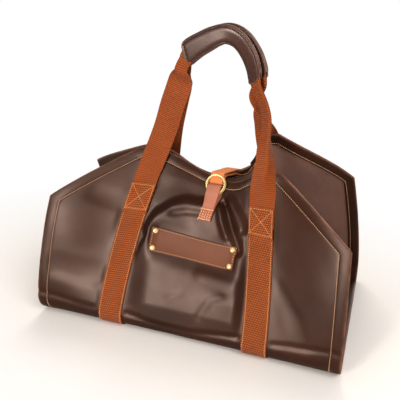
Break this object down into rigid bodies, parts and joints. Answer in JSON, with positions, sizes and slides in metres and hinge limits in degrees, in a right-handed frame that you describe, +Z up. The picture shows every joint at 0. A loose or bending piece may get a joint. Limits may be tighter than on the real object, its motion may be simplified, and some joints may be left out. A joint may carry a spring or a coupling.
{
  "type": "log bag",
  "caption": "Leather firewood bag folded from a single open-ended sheet, with webbing handles meeting in leather grips and a strap closure threaded through a pair of rings.",
  "frame": {"origin": "on the floor under the middle of the whole bag", "axes": "+Z up, +X along the bag from its left open end to its right one, -Y towards the side with the name patch"},
  "size_m": [0.5124, 0.2976, 0.4682],
  "materials": {
    "leather_body": "smooth semi-gloss dark brown grain leather",
    "leather_grip": "dark brown leather, worn semi-gloss",
    "leather_tan": "tan leather, matte",
    "webbing": "tan woven webbing",
    "brass": "polished brass"
  },
  "bodies": {
    "bag": {"main_panel": "leather_body", "belly_strap_left": "webbing", "belly_strap_right": "webbing", "handle_end_front_left": "webbing", "handle_end_front_right": "webbing", "handle_end_back_left": "webbing", "handle_end_back_right": "webbing", "name_patch": "leather_tan", "patch_rivet_left_low": "brass", "patch_rivet_left_high": "brass", "patch_rivet_right_low": "brass", "patch_rivet_right_high": "brass", "rivet_burr_left_low": "brass", "rivet_burr_left_high": "brass", "rivet_burr_right_low": "brass", "rivet_burr_right_high": "brass", "ring_tab": "leather_tan", "closure_strap": "leather_tan", "ring_lower": "brass"},
    "front_handle": {"handle_webbing_front": "webbing", "grip_front": "leather_grip"},
    "back_handle": {"handle_webbing_back": "webbing", "grip_back": "leather_grip"},
    "upper_ring": {"ring_upper": "brass"}
  },
  "joints": [
    {"name": "front_handle_fold", "type": "hinge", "parent": "bag", "child": "front_handle", "pos_m": [0.00925, -0.0534, 0.2192], "axis": [0.9985, -0.0401, -0.0382], "range_deg": [0, 140]},
    {"name": "back_handle_fold", "type": "hinge", "parent": "bag", "child": "back_handle", "pos_m": [0.01, 0.0479, 0.2373], "axis": [-0.9871, -0.0181, -0.1588], "range_deg": [0, 140]},
    {"name": "upper_ring_lift", "type": "hinge", "parent": "bag", "child": "upper_ring", "pos_m": [0.0277, -0.0413, 0.2194], "axis": [1, 0, 0], "range_deg": [0, 10]}
  ]
}
